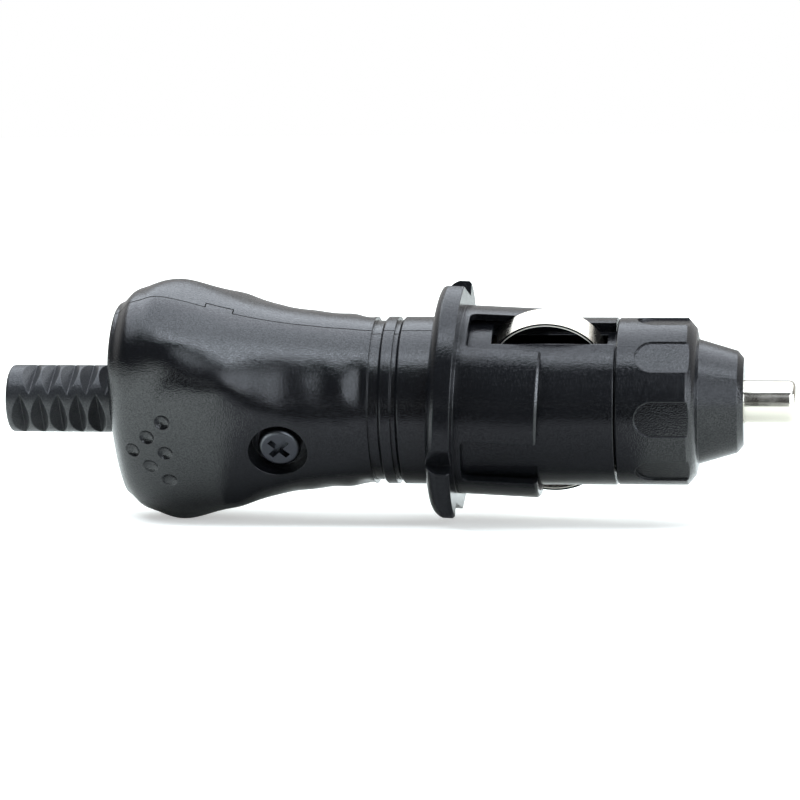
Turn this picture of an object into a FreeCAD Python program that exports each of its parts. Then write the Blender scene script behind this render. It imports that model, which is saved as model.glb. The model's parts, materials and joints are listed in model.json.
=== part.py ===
"""Cigarette lighter plug: a moulded grip, a slotted barrel with a locking collar and a fused nose.

The model is drawn with +X along the plug towards its tip and +Z through both side contacts. It is
then rolled about X into the way it lies on a table, on the flat cut of its flange.
"""
import FreeCAD, Part
import math
import os

# Overall stance, degrees
REST_ROLL = 30.0

# Barrel and its spigot, mm. X = 0 is the flange's seating face
BARREL_RADIUS = 10.35
BARREL_END = 19.2
BARREL_WALL = 1.5
CAVITY_START = 1.8
CAVITY_END_WALL = 1.0
SPIGOT_RADIUS = 8.7
SPIGOT_LENGTH = 6.4
BARREL_BORE = 7.2
BARREL_TAIL_RADIUS = 8.6
BARREL_TAIL_END = -12.0
TAIL_RING_RADIUS = 9.4
TAIL_RING_START = -6.5
TAIL_RING_WIDTH = 1.6
TAIL_KEY_WIDTH = 1.6
CONTACT_SLOT_WIDTH = 4.6
CONTACT_SLOT_START = 4.2

# Fits, mm
RUNNING_FIT = 0.05
LOOSE_FIT = 0.1
PARTING_GAP = 0.08

# Handle, mm
NECK_RADIUS = 10.42
NECK_START = -10.7
NECK_END = -2.2
NECK_GROOVE_DEPTH = 0.5
WIDE_GROOVE_WIDTH = 1.2
NECK_LAND_WIDTH = 1.6
NARROW_GROOVE_WIDTH = 0.55
LAND_CHAMFER = 0.35
HANDLE_WALL = 2.2
CABLE_WALL = 2.4
HOLLOW_FRONT = -15.5
PASSAGE_RADIUS = 7.8

# Grip stations from the cable end to the neck: position along X, half height towards the parting
# line, half depth towards the screw face, then the crease between face and side as shares of both
GRIP_STATIONS = [
    (-43.00, 11.80, 8.00, 0.75, 0.76),
    (-42.30, 12.90, 9.30, 0.73, 0.75),
    (-41.00, 14.10, 10.50, 0.72, 0.75),
    (-39.30, 14.95, 11.15, 0.72, 0.75),
    (-37.00, 15.45, 11.50, 0.77, 0.75),
    (-34.50, 14.95, 11.60, 0.82, 0.76),
    (-29.70, 13.40, 11.60, 0.78, 0.80),
    (-25.30, 12.25, 11.50, 0.66, 0.85),
    (-21.00, 11.45, 11.30, 0.47, 0.90),
    (-15.50, 10.80, 10.90, 0.34, 0.943),
    (NECK_START, NECK_RADIUS, NECK_RADIUS, 0.30, 0.954),
]
SECTION_POINTS = 24
SECTION_COUNT = 18
SECTION_SPREAD = 1.3
GRIP_END_ROUND = 0.7

# Snap tabs on the parting line, mm
TAB_START = -31.1
TAB_LENGTH = 3.2
TAB_WIDTH = 0.9
TAB_GAP = 0.12

# Screw and its boss, mm
SCREW_STATION = -21.8
SCREW_RECESS_RADIUS = 3.65
SCREW_RECESS_FLOOR = 8.6
SCREW_HEAD_RADIUS = 2.65
SCREW_HEAD_HEIGHT = 1.9
SCREW_SHANK_RADIUS = 1.5
SCREW_REACH = 7.5
SCREW_CROSS_WIDTH = 0.75
SCREW_CROSS_LENGTH = 3.0
SCREW_CROSS_DEPTH = 1.0
BOSS_RADIUS = 4.7
REAR_BOSS_RADIUS = 3.4

# Dimples on the screw face, mm
DIMPLE_FIRST_ROW = -40.2
DIMPLE_PITCH_ALONG = 2.2
DIMPLE_PITCH_ACROSS = 4.5
DIMPLE_RADIUS = 1.0
DIMPLE_DEPTH = 0.5
DIMPLE_ROWS = 3

# Strain relief, mm
RELIEF_RADIUS = 4.23
RELIEF_BORE = 2.9
RELIEF_END = -57.4
RELIEF_SHOULDER_RADIUS = 5.8
RELIEF_SHOULDER_WIDTH = 1.6
RELIEF_NOTCH_PITCH = 2.45
RELIEF_NOTCH_WIDTH = 2.0
RELIEF_NOTCH_DEPTH = 1.12
RELIEF_NOTCH_COUNT = 5
RELIEF_FIRST_NOTCH = -54.3
RELIEF_TURN = 87.0
RELIEF_END_ROUND = 0.5

# Cable clamp in the rear half, mm
CLAMP_STATION = -33.4
CLAMP_WIDTH = 4.2
CLAMP_SPAN = 16.6
CLAMP_BAR_THICKNESS = 1.6
CLAMP_BAR_HEIGHT = 2.5
CLAMP_POST_RADIUS = 2.05
CLAMP_POST_OFFSET = 6.1
CLAMP_SCREW_RADIUS = 1.1
CLAMP_SCREW_HEAD_RADIUS = 1.9
CLAMP_SCREW_HEAD_HEIGHT = 1.2
CLAMP_SCREW_REACH = 6.0
BULKHEAD_WIDTH = 1.4
BULKHEAD_CLEARANCE = 0.4
SADDLE_WIDTH = 2.0
CABLE_RADIUS = 2.8

# Locking collar, mm and degrees
COLLAR_COCK = 2.6
COCK_DIRECTION = 36.0
COLLAR_REACH = 10.2
COLLAR_WALL = 0.95
COLLAR_BACK = -3.1
FLANGE_RIM = 1.5
FLANGE_RADIUS = 14.8
EAR_RADIUS = 15.05
EAR_ROOT_RADIUS = 13.15
FLANGE_BACK_RADIUS = 12.3
FLANGE_EDGE_ROUND = 0.3
NEAR_ARC_START = 9.9
NEAR_ARC_END = 104.3
EAR_START = 136.3
EAR_END = 177.3
WINDOW_CENTRE = 83.5
WINDOW_WIDTH = 6.4
WINDOW_START = 0.95
WINDOW_CORNER = 0.8
WINDOW_COUNT = 4
FINGER_END_CHAMFER = 0.3
COLLAR_RIM_WIDTH = 0.7
COLLAR_RIM_RADIUS = 9.3
COLLAR_AXIAL_PLAY = 0.15

# Side contacts, mm
LEAF_WIDTH = 3.3
LEAF_THICKNESS = 0.4
LEAF_CROWN_RADIUS = 12.6
LEAF_CROWN_STATION = 10.9
LEAF_BOW_RADIUS = 7.2
LEAF_BOW_ANGLE = 64.0
LEAF_FOOT_START = 2.6
LEAF_FOOT_BEND = 0.8

# Earth strap, mm
STRAP_THICKNESS = 0.55
STRAP_RING_WIDTH = 1.5
STRAP_TAIL_WIDTH = 3.0
STRAP_TAIL_THICKNESS = 0.5
STRAP_TAIL_END = -17.0
TERMINAL_STATION = -15.0
TERMINAL_SCREW_RADIUS = 0.95
TERMINAL_HEAD_RADIUS = 1.5
TERMINAL_HEAD_HEIGHT = 1.2
TERMINAL_SCREW_REACH = 1.2

# Fuse, its holder and the live contact, mm
FUSE_LENGTH = 30.0
FUSE_RADIUS = 3.15
FUSE_CAP_LENGTH = 5.5
FUSE_CAP_WALL = 0.25
FUSE_TUBE_WALL = 0.7
FUSE_WIRE_RADIUS = 0.15
HOLDER_BORE = 3.4
HOLDER_WALL = 0.7
HOLDER_REAR_WALL = 1.4
HOLDER_DISC_WIDTH = 1.5
HOLDER_FRONT_DISC_SETBACK = 5.1
LIVE_DISC_THICKNESS = 1.0
LIVE_TAIL_WIDTH = 3.2
LIVE_TAIL_THICKNESS = 0.8
LIVE_TAIL_SHIFT = 2.2
LIVE_TAIL_STEP = -12.9
LIVE_TAIL_END = -16.9

# Pin and its spring, mm
PIN_RADIUS = 2.67
PIN_GUIDE_RADIUS = 3.0
PIN_PROUD = 6.3
PIN_TIP_ROUND = 0.8
PIN_FLANGE_RADIUS = 4.2
PIN_FLANGE_WIDTH = 1.4
PIN_HEEL_RADIUS = 2.9
PIN_HEEL_LENGTH = 1.0
WASHER_THICKNESS = 0.6
SPRING_WIRE_RADIUS = 0.3
SPRING_COIL_RADIUS = 2.7
SPRING_TURNS = 6

# Nose cap, mm
CAP_GAP = 0.22
CAP_RADIUS = 10.3
CAP_GRIP_LENGTH = 8.48
CAP_CHAMFER_WIDTH = 1.05
CAP_CHAMFER_RADIUS = 9.1
CAP_LEDGE_WIDTH = 0.3
CONE_LENGTH = 4.7
CONE_START_RADIUS = 7.7
CONE_END_RADIUS = 6.3
CAP_FACE_CHAMFER = 0.75
CAP_FACE_RADIUS = 5.4
CAP_FRONT_WALL = 2.8
CAP_POCKET_RADIUS = 4.8
CAP_POCKET_STEP = 0.6
SKIRT_EDGE = 0.15
FLUTE_COUNT = 8
FLUTE_WIDTH = 4.3
FLUTE_SKIRT = 2.28
FLUTE_DEPTH = 0.45
FLUTE_PHASE = 22.5

# What follows from the sizes above
GRIP_END = GRIP_STATIONS[0][0]
COCK = math.radians(COLLAR_COCK)
COLLAR_CENTRE = (COLLAR_REACH + COLLAR_BACK) / 2
COLLAR_HALF_LENGTH = (COLLAR_REACH - COLLAR_BACK) / 2
COLLAR_BORE = max(BARREL_RADIUS, NECK_RADIUS) + COLLAR_HALF_LENGTH * math.tan(COCK) + RUNNING_FIT
COLLAR_RADIUS = COLLAR_BORE + COLLAR_WALL
RIM_GAP_HALF = COLLAR_RIM_WIDTH / 2 + COLLAR_BORE * math.sin(COCK) + COLLAR_AXIAL_PLAY
RIM_STATION = NECK_END + RIM_GAP_HALF
BARREL_SHOULDER = NECK_END + 2 * RIM_GAP_HALF
CAVITY_RADIUS = BARREL_RADIUS - BARREL_WALL
CAVITY_END = BARREL_END - CAVITY_END_WALL
SPIGOT_END = BARREL_END + SPIGOT_LENGTH
TAIL_RING_END = TAIL_RING_START + TAIL_RING_WIDTH
CAP_START = BARREL_END + CAP_GAP
CAP_GRIP_END = CAP_START + CAP_GRIP_LENGTH
CAP_CHAMFER_END = CAP_GRIP_END + CAP_CHAMFER_WIDTH
CAP_SHOULDER = CAP_CHAMFER_END + CAP_LEDGE_WIDTH
CONE_END = CAP_SHOULDER + CONE_LENGTH
CAP_FACE = CONE_END + CAP_FACE_CHAMFER
CAP_INNER_WALL = CAP_FACE - CAP_FRONT_WALL
CAP_POCKET_START = SPIGOT_END + CAP_POCKET_STEP
FLUTE_START = CAP_START + FLUTE_SKIRT
PIN_TIP = CAP_FACE + PIN_PROUD
STRAP_RING_RADIUS = CAVITY_RADIUS - RUNNING_FIT
STRAP_TAIL_HEIGHT = math.sqrt((BARREL_BORE - RUNNING_FIT) ** 2 - (STRAP_TAIL_WIDTH / 2) ** 2)
LEAF_ROOM = STRAP_RING_RADIUS - STRAP_THICKNESS - RUNNING_FIT
LEAF_FOOT_RADIUS = math.sqrt(LEAF_ROOM ** 2 - (LEAF_WIDTH / 2) ** 2) - LEAF_THICKNESS / 2
PIN_FLANGE_FRONT = CAP_INNER_WALL - WASHER_THICKNESS - RUNNING_FIT
PIN_HEEL = PIN_FLANGE_FRONT - PIN_FLANGE_WIDTH - PIN_HEEL_LENGTH
FUSE_FRONT = PIN_HEEL
FUSE_REAR = FUSE_FRONT - FUSE_LENGTH
HOLDER_OUTER = HOLDER_BORE + HOLDER_WALL
HOLDER_REAR = BARREL_TAIL_END
HOLDER_FRONT = SPIGOT_END
HOLDER_FRONT_DISC_STATION = HOLDER_FRONT - HOLDER_FRONT_DISC_SETBACK
LIVE_DISC_REAR = HOLDER_REAR + HOLDER_REAR_WALL
LIVE_DISC_FRONT = LIVE_DISC_REAR + LIVE_DISC_THICKNESS
RELIEF_INNER_END = GRIP_END + CABLE_WALL + RELIEF_SHOULDER_WIDTH + RUNNING_FIT

FAR = 60.0
AXIS = FreeCAD.Vector(1, 0, 0)
ORIGIN = FreeCAD.Vector(0, 0, 0)


def vector(x, y, z):
    return FreeCAD.Vector(x, y, z)


def rod(start, end, radius):
    """A cylinder along the plug's axis."""
    return Part.makeCylinder(radius, end - start, vector(start, 0, 0), AXIS)


def tube(start, end, outer, inner):
    return rod(start, end, outer).cut(rod(start - 1, end + 1, inner))


def block(x, y, z):
    """A box between two limits on each axis."""
    return Part.makeBox(x[1] - x[0], y[1] - y[0], z[1] - z[0], vector(x[0], y[0], z[0]))


def turned(shape, angle):
    """A copy of the shape, turned about the plug's axis."""
    copy = shape.copy()
    copy.rotate(ORIGIN, AXIS, angle)
    return copy


def revolved(points):
    """A solid turned about the plug's axis from a closed outline of (x, radius) points."""
    outline = [vector(x, 0, radius) for x, radius in points]
    face = Part.Face(Part.makePolygon(outline + outline[:1]))
    return face.revolve(ORIGIN, AXIS, 360)


def round_at(angle):
    """Unit direction at an angle, counted from the screw face (-Y) towards +Z."""
    turn = math.radians(angle)
    return vector(0, -math.cos(turn), math.sin(turn))


def arc_reach(angle, apex, near, away):
    """Reach of an arc that passes (apex, 0) and (near, away), seen at an angle from its apex."""
    radius = ((apex - near) ** 2 + away ** 2) / (2 * (apex - near))
    centre = apex - radius
    return centre * math.cos(angle) + math.sqrt(radius ** 2 - (centre * math.sin(angle)) ** 2)


def grip_section(x, half_height, half_depth, crease_height, crease_depth):
    """A closed outline that two side arcs and two crowned faces bound, with soft creases."""
    crease = (half_height * crease_height, half_depth * crease_depth)
    crease_turn = math.atan2(crease[1], crease[0])
    points = []
    for index in range(SECTION_POINTS):
        angle = 2 * math.pi * index / SECTION_POINTS
        from_side = math.acos(abs(math.cos(angle)))
        if from_side <= crease_turn:
            reach = arc_reach(from_side, half_height, crease[0], crease[1])
        else:
            reach = arc_reach(math.pi / 2 - from_side, half_depth, crease[1], crease[0])
        points.append(vector(x, reach * math.sin(angle), reach * math.cos(angle)))
    curve = Part.BSplineCurve()
    curve.interpolate(Points=points, PeriodicFlag=True, Parameters=list(range(SECTION_POINTS + 1)))
    return Part.Wire([curve.toShape()])


def station_slope(values, places, index):
    """Slope at a station that lets the curve through the stations swell but never overshoot."""
    last = len(places) - 1
    if index in (0, last):
        start = min(index, last - 1)
        return (values[start + 1] - values[start]) / (places[start + 1] - places[start])
    before = places[index] - places[index - 1]
    after = places[index + 1] - places[index]
    rise_before = (values[index] - values[index - 1]) / before
    rise_after = (values[index + 1] - values[index]) / after
    if rise_before * rise_after <= 0:
        return 0.0
    weight_before = 2 * after + before
    weight_after = after + 2 * before
    total = weight_before + weight_after
    return total / (weight_before / rise_before + weight_after / rise_after)


def grip_station(x):
    """The grip's measures at any place along X, on a smooth curve through the stations."""
    places = [station[0] for station in GRIP_STATIONS]
    index = max(i for i in range(len(places) - 1) if places[i] <= x)
    span = places[index + 1] - places[index]
    part = (x - places[index]) / span
    measures = [x]
    for column in range(1, len(GRIP_STATIONS[0])):
        values = [station[column] for station in GRIP_STATIONS]
        start_slope = station_slope(values, places, index) * span
        end_slope = station_slope(values, places, index + 1) * span
        start = values[index] * (1 + 2 * part) + start_slope * part
        end = values[index + 1] * (3 - 2 * part) - end_slope * (1 - part)
        measures.append(start * (1 - part) ** 2 + end * part ** 2)
    return measures


def grip_loft(start, end, inset):
    """A loft between two places along the grip, its sections closer together at the cable end."""
    sections = []
    for index in range(SECTION_COUNT + 1):
        x = start + (end - start) * (index / SECTION_COUNT) ** SECTION_SPREAD
        x, half_height, half_depth, crease_height, crease_depth = grip_station(x)
        sections.append(grip_section(x, half_height - inset, half_depth - inset,
                                     crease_height, crease_depth))
    return Part.makeLoft(sections, True, False, False, 3)


def rounded_end(grip):
    """The grip with the edge of its cable end rounded over."""
    end_face = min(grip.Faces, key=lambda face: face.CenterOfMass.x)
    return grip.makeFillet(GRIP_END_ROUND, end_face.Edges)


def grip_form():
    """The outer form of both halves together: the swelling grip, then the grooved neck."""
    grip = rounded_end(grip_loft(GRIP_END, NECK_START, 0))
    groove_radius = NECK_RADIUS - NECK_GROOVE_DEPTH
    wide_end = NECK_START + WIDE_GROOVE_WIDTH
    land_end = wide_end + NECK_LAND_WIDTH
    narrow_end = land_end + NARROW_GROOVE_WIDTH
    neck = revolved([
        (NECK_START - 1.0, 0),
        (NECK_START - 1.0, groove_radius),
        (wide_end, groove_radius),
        (wide_end, NECK_RADIUS - LAND_CHAMFER),
        (wide_end + LAND_CHAMFER, NECK_RADIUS),
        (land_end, NECK_RADIUS),
        (land_end, groove_radius),
        (narrow_end, groove_radius),
        (narrow_end, NECK_RADIUS - LAND_CHAMFER),
        (narrow_end + LAND_CHAMFER, NECK_RADIUS),
        (NECK_END, NECK_RADIUS),
        (NECK_END, 0),
    ])
    return grip.fuse(neck)


def grip_hollow():
    """The room inside the grip, one wall thickness in from its form."""
    rear_end = GRIP_END + CABLE_WALL
    room = grip_loft(rear_end, HOLLOW_FRONT, HANDLE_WALL)
    passage = rod(HOLLOW_FRONT - 1.0, BARREL_TAIL_END + 0.2, PASSAGE_RADIUS)
    pocket = rod(rear_end, RELIEF_INNER_END, RELIEF_SHOULDER_RADIUS + LOOSE_FIT)
    return room.fuse([passage, pocket])


def cross_recess(x, front, length, width, depth):
    """Cutter for a cross recess in a head that faces -Y, turned half way to an X."""
    half = width / 2
    arm = block((-length / 2, length / 2), (-depth, depth), (-half, half))
    other = block((-half, half), (-depth, depth), (-length / 2, length / 2))
    cross = arm.fuse(other)
    cross.rotate(ORIGIN, vector(0, 1, 0), 45)
    cross.translate(vector(x, front, 0))
    return cross


def across(x, z, start, end, radius):
    """A cylinder that runs from the screw face towards the rear."""
    return Part.makeCylinder(radius, end - start, vector(x, start, z), vector(0, 1, 0))


def snap_tabs(skin, gap):
    """The two tabs that reach across the parting line, or with a gap the notches for them."""
    along = (TAB_START - gap, TAB_START + TAB_LENGTH + gap)
    width = (-PARTING_GAP, TAB_WIDTH + gap)
    return [block(along, width, height).common(skin) for height in ((0, FAR), (-FAR, 0))]


def halves():
    """Both grip halves, with the boss, the clamp posts and the seats for what they hold."""
    form = grip_form()
    hollow = grip_hollow()
    tail_fit = BARREL_TAIL_RADIUS + RUNNING_FIT
    ring_fit = TAIL_RING_RADIUS + RUNNING_FIT
    shell = form.cut(hollow)
    seats = [
        rod(BARREL_TAIL_END - 0.1, NECK_END + 1, tail_fit),
        rod(TAIL_RING_START - RUNNING_FIT, TAIL_RING_END + RUNNING_FIT, ring_fit),
        rod(GRIP_END - 2, GRIP_END + CABLE_WALL + 1, RELIEF_RADIUS + RUNNING_FIT),
    ]
    shell = shell.cut(seats[0].fuse(seats[1:]))
    bulkhead_start = RELIEF_INNER_END + RUNNING_FIT
    bulkhead_end = bulkhead_start + BULKHEAD_WIDTH
    bulkhead = block((bulkhead_start, bulkhead_end), (-FAR, FAR), (-FAR, FAR))
    cable_hole = rod(bulkhead_start - 1, bulkhead_end + 1, CABLE_RADIUS + BULKHEAD_CLEARANCE)
    shell = shell.fuse(bulkhead.common(hollow).cut(cable_hole))

    front_side = block((-FAR, FAR), (-FAR, -PARTING_GAP / 2), (-FAR, FAR))
    rear_side = block((-FAR, FAR), (PARTING_GAP / 2, FAR), (-FAR, FAR))
    front = shell.common(front_side)
    rear = shell.common(rear_side)

    front_boss = across(SCREW_STATION, 0, -FAR, -PARTING_GAP / 2, BOSS_RADIUS).common(form)
    rear_boss = across(SCREW_STATION, 0, PARTING_GAP / 2, FAR, REAR_BOSS_RADIUS).common(form)
    recess = across(SCREW_STATION, 0, -FAR, -SCREW_RECESS_FLOOR, SCREW_RECESS_RADIUS)
    shank_hole = across(SCREW_STATION, 0, -FAR, SCREW_REACH + 0.5, SCREW_SHANK_RADIUS + RUNNING_FIT)
    front = front.fuse(front_boss).cut(recess.fuse(shank_hole))
    rear = rear.fuse(rear_boss).cut(shank_hole)

    posts = []
    holes = []
    for side in (-1, 1):
        offset = side * CLAMP_POST_OFFSET
        posts.append(across(CLAMP_STATION, offset, -CLAMP_BAR_HEIGHT, FAR, CLAMP_POST_RADIUS))
        holes.append(across(CLAMP_STATION, offset, -CLAMP_BAR_HEIGHT - 1, CLAMP_SCREW_REACH,
                            CLAMP_SCREW_RADIUS + RUNNING_FIT))
    saddle_start = CLAMP_STATION - SADDLE_WIDTH / 2
    saddle_end = CLAMP_STATION + SADDLE_WIDTH / 2
    saddle = block((saddle_start, saddle_end), (PARTING_GAP, FAR),
                   (-CLAMP_POST_OFFSET, CLAMP_POST_OFFSET))
    saddle = saddle.cut(rod(saddle_start - 1, saddle_end + 1, CABLE_RADIUS))
    carried = posts[0].fuse(posts[1:] + [saddle]).common(form)
    rear = rear.fuse(carried).cut(holes[0].fuse(holes[1:]))

    key = block((TAIL_RING_START, TAIL_RING_END), (TAIL_RING_RADIUS - 0.7, TAIL_RING_RADIUS + 0.3),
                (-TAIL_KEY_WIDTH / 2 + RUNNING_FIT, TAIL_KEY_WIDTH / 2 - RUNNING_FIT))
    rear = rear.fuse(key)

    skin = form.cut(hollow)
    rear = rear.cut(snap_tabs(skin, TAB_GAP))
    front = front.fuse(snap_tabs(skin, 0))
    front = front.cut(dimples())
    return front.removeSplitter(), rear.removeSplitter()


def dimples():
    """Cutters for the triangle of shallow dimples, its point towards the cable."""
    ball_radius = (DIMPLE_RADIUS ** 2 + DIMPLE_DEPTH ** 2) / (2 * DIMPLE_DEPTH)
    balls = []
    for row in range(DIMPLE_ROWS):
        x = DIMPLE_FIRST_ROW + row * DIMPLE_PITCH_ALONG
        for step in range(row + 1):
            z = (step - row / 2) * DIMPLE_PITCH_ACROSS
            centre = vector(x, DIMPLE_DEPTH - ball_radius - surface_depth(x, z), z)
            balls.append(Part.makeSphere(ball_radius, centre))
    return balls[0].fuse(balls[1:])


def surface_depth(x, z):
    """Depth of the crowned screw face at a place along X and a height from its middle."""
    x, half_height, half_depth, crease_height, crease_depth = grip_station(x)
    rise = half_depth * (1 - crease_depth)
    radius = (rise ** 2 + (half_height * crease_height) ** 2) / (2 * rise)
    return half_depth - radius + math.sqrt(radius ** 2 - z ** 2)


def machine_screw(x, z, head_front, head_height, head_radius, shank_radius, reach):
    """A pan-head cross-recess screw whose head faces -Y."""
    head = across(x, z, head_front, head_front + head_height, head_radius)
    rim = [edge for edge in head.Edges if abs(edge.CenterOfMass.y - head_front) < 1e-6]
    head = head.makeFillet(head_height * 0.35, rim)
    shank = across(x, z, head_front + head_height, reach, shank_radius)
    return head.fuse(shank)


def handle_screw():
    front = -SCREW_RECESS_FLOOR - SCREW_HEAD_HEIGHT
    screw = machine_screw(SCREW_STATION, 0, front, SCREW_HEAD_HEIGHT, SCREW_HEAD_RADIUS,
                          SCREW_SHANK_RADIUS, SCREW_REACH)
    return screw.cut(cross_recess(SCREW_STATION, front, SCREW_CROSS_LENGTH, SCREW_CROSS_WIDTH,
                                  SCREW_CROSS_DEPTH))


def strain_relief():
    """A sleeve with staggered notches on four sides and a shoulder that the grip traps."""
    start = RELIEF_INNER_END - RELIEF_SHOULDER_WIDTH
    body = rod(RELIEF_END, start + 0.5, RELIEF_RADIUS)
    ends = [edge for edge in body.Edges if edge.BoundBox.XMax < RELIEF_END + 0.01]
    body = body.makeFillet(RELIEF_END_ROUND, ends)
    body = body.fuse(rod(start, RELIEF_INNER_END, RELIEF_SHOULDER_RADIUS))
    half = RELIEF_NOTCH_WIDTH / 2
    floor = RELIEF_RADIUS - RELIEF_NOTCH_DEPTH
    slope = half / RELIEF_NOTCH_DEPTH
    top = RELIEF_RADIUS + 1
    profile = Part.makePolygon([
        vector(0, 0, floor),
        vector(half + slope, 0, top),
        vector(-half - slope, 0, top),
        vector(0, 0, floor),
    ])
    for row in range(2):
        for index in range(RELIEF_NOTCH_COUNT):
            x = RELIEF_FIRST_NOTCH + (index - row / 2) * RELIEF_NOTCH_PITCH
            if x + half > GRIP_END:
                continue
            prism = Part.Face(profile).extrude(vector(0, 2 * RELIEF_RADIUS, 0))
            prism.translate(vector(x, -RELIEF_RADIUS, 0))
            for side in (0, 180):
                body = body.cut(turned(prism, 90 - RELIEF_TURN + row * 90 + side))
    return body.cut(rod(RELIEF_END - 1, RELIEF_INNER_END + 1, RELIEF_BORE))


def cord_clamp_bar():
    """A bar across the cable, hollowed under its middle, on the two posts of the rear half."""
    top = -CLAMP_BAR_HEIGHT - CLAMP_BAR_THICKNESS
    half = CLAMP_WIDTH / 2
    bar = block((CLAMP_STATION - half, CLAMP_STATION + half), (top, -CLAMP_BAR_HEIGHT),
                (-CLAMP_SPAN / 2, CLAMP_SPAN / 2))
    bar = bar.cut(rod(CLAMP_STATION - FAR, CLAMP_STATION + FAR, CABLE_RADIUS))
    for side in (-1, 1):
        bar = bar.cut(across(CLAMP_STATION, side * CLAMP_POST_OFFSET, top - 1, 0,
                             CLAMP_SCREW_RADIUS + RUNNING_FIT))
    corners = [edge for edge in bar.Edges
               if abs(edge.BoundBox.YLength - CLAMP_BAR_THICKNESS) < 1e-3
               and abs(abs(edge.CenterOfMass.z) - CLAMP_SPAN / 2) < 1e-3]
    return bar.makeFillet(half * 0.8, corners)


def cord_clamp_screws():
    top = -CLAMP_BAR_HEIGHT - CLAMP_BAR_THICKNESS - CLAMP_SCREW_HEAD_HEIGHT
    screws = []
    for side in (-1, 1):
        offset = side * CLAMP_POST_OFFSET
        screw = machine_screw(CLAMP_STATION, offset, top, CLAMP_SCREW_HEAD_HEIGHT,
                              CLAMP_SCREW_HEAD_RADIUS, CLAMP_SCREW_RADIUS, CLAMP_SCREW_REACH)
        recess = cross_recess(CLAMP_STATION, top, CLAMP_SCREW_HEAD_RADIUS, 0.5, 0.6)
        recess.translate(vector(0, 0, offset))
        screws.append(screw.cut(recess))
    return Part.makeCompound(screws)


def barrel():
    """The plug body: slotted sleeve, threaded spigot for the cap and a tail the grip clamps."""
    body = revolved([
        (BARREL_TAIL_END, 0),
        (BARREL_TAIL_END, BARREL_TAIL_RADIUS),
        (TAIL_RING_START, BARREL_TAIL_RADIUS),
        (TAIL_RING_START, TAIL_RING_RADIUS),
        (TAIL_RING_END, TAIL_RING_RADIUS),
        (TAIL_RING_END, BARREL_TAIL_RADIUS),
        (BARREL_SHOULDER, BARREL_TAIL_RADIUS),
        (BARREL_SHOULDER, BARREL_RADIUS),
        (BARREL_END, BARREL_RADIUS),
        (BARREL_END, SPIGOT_RADIUS),
        (SPIGOT_END, SPIGOT_RADIUS),
        (SPIGOT_END, 0),
    ])
    body = body.cut(rod(BARREL_TAIL_END - 1, SPIGOT_END + 1, BARREL_BORE))
    body = body.cut(rod(CAVITY_START, CAVITY_END, CAVITY_RADIUS))
    half = CONTACT_SLOT_WIDTH / 2
    slot = block((CONTACT_SLOT_START, BARREL_END + 1), (-half, half),
                 (SPIGOT_RADIUS, BARREL_RADIUS + 1))
    for angle in (0, 180):
        body = body.cut(turned(slot, angle))
    key = block((TAIL_RING_START - 1, TAIL_RING_END + 1), (BARREL_TAIL_RADIUS, TAIL_RING_RADIUS + 1),
                (-TAIL_KEY_WIDTH / 2, TAIL_KEY_WIDTH / 2))
    return body.cut(key)


def flange_outline():
    """The flange's plan: two long arcs and two ears, with a flat cut on each side of an ear."""
    points = []
    for half in (0, 180):
        points.append((FLANGE_RADIUS, NEAR_ARC_START + half, NEAR_ARC_END + half))
        points.append((EAR_RADIUS, EAR_START + half, EAR_END + half))
    edges = []
    for index, (radius, start, end) in enumerate(points):
        next_radius, next_start, next_end = points[(index + 1) % len(points)]
        first = round_at(start) * radius
        last = round_at(end) * radius
        following = round_at(next_start) * next_radius
        edges.append(Part.Arc(first, round_at((start + end) / 2) * radius, last).toShape())
        if radius == EAR_RADIUS:
            root = round_at(end) * EAR_ROOT_RADIUS
            edges.append(Part.makeLine(last, root))
            edges.append(Part.makeLine(root, following))
        else:
            root = round_at(next_start) * EAR_ROOT_RADIUS
            edges.append(Part.makeLine(last, root))
            edges.append(Part.makeLine(root, following))
    return Part.Face(Part.Wire(edges))


def flange():
    plan = flange_outline()
    plan.translate(vector(COLLAR_BACK, 0, 0))
    plate = plan.extrude(vector(-COLLAR_BACK, 0, 0))
    rim_back = -FLANGE_RIM
    shoulder = math.sqrt(0.5)
    start = vector(COLLAR_BACK, 0, FLANGE_BACK_RADIUS)
    depth = rim_back - COLLAR_BACK
    height = EAR_RADIUS - FLANGE_BACK_RADIUS
    middle = vector(rim_back - depth * shoulder, 0, FLANGE_BACK_RADIUS + height * shoulder)
    end = vector(rim_back, 0, EAR_RADIUS)
    round_edge = FLANGE_EDGE_ROUND
    edges = [
        Part.makeLine(vector(COLLAR_BACK, 0, 0), start),
        Part.Arc(start, middle, end).toShape(),
        Part.makeLine(end, vector(-round_edge, 0, EAR_RADIUS)),
        Part.makeLine(vector(-round_edge, 0, EAR_RADIUS), vector(0, 0, EAR_RADIUS - round_edge)),
        Part.makeLine(vector(0, 0, EAR_RADIUS - round_edge), ORIGIN),
        Part.makeLine(ORIGIN, vector(COLLAR_BACK, 0, 0)),
    ]
    dome = Part.Face(Part.Wire(edges)).revolve(ORIGIN, AXIS, 360)
    return plate.common(dome)


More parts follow.
